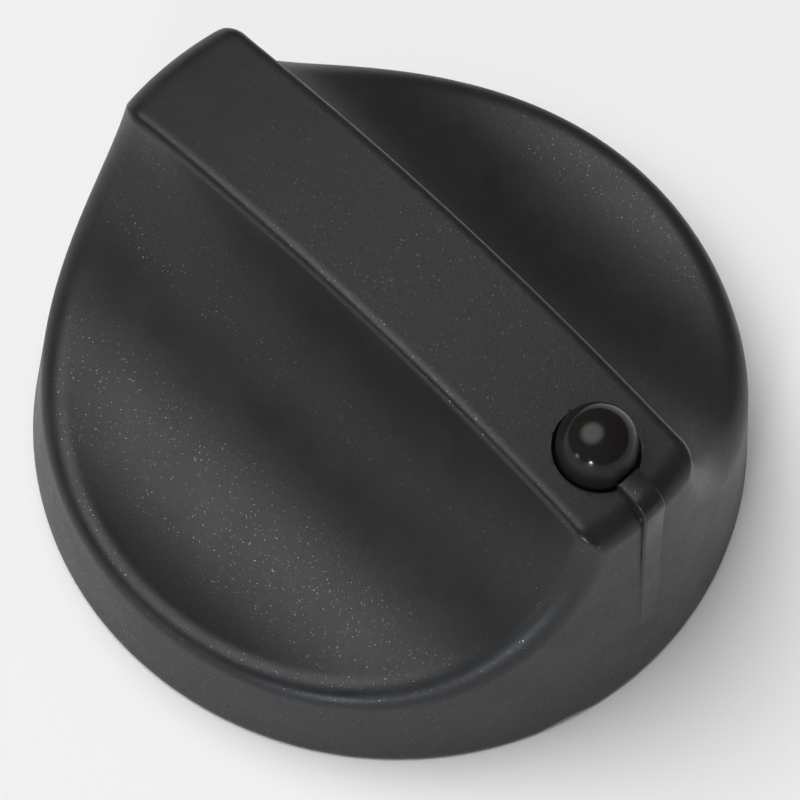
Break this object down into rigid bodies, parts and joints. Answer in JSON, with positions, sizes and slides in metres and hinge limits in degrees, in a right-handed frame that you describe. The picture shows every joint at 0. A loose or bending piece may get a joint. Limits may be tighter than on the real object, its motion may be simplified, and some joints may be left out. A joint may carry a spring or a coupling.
{
  "type": "control knob",
  "caption": "Round barbecue control knob: tapered skirt, straight finger grip between two dished scoops, glossy bead and raised pointer at one end, D-shaped spindle socket in the hub.",
  "frame": {"origin": "centre of the bottom rim, on the turning axis", "axes": "+Z along the turning axis from the bottom rim towards the grip; the pointer end of the grip faces -Y"},
  "size_m": [0.0569, 0.057, 0.0317],
  "materials": {
    "body": "satin black moulding plastic with a fine texture",
    "bead": "polished black",
    "spring": "rolled spring steel"
  },
  "bodies": {
    "root": {"knob_body": "body", "indicator_bead": "bead", "spindle_spring": "spring"}
  },
  "joints": []
}
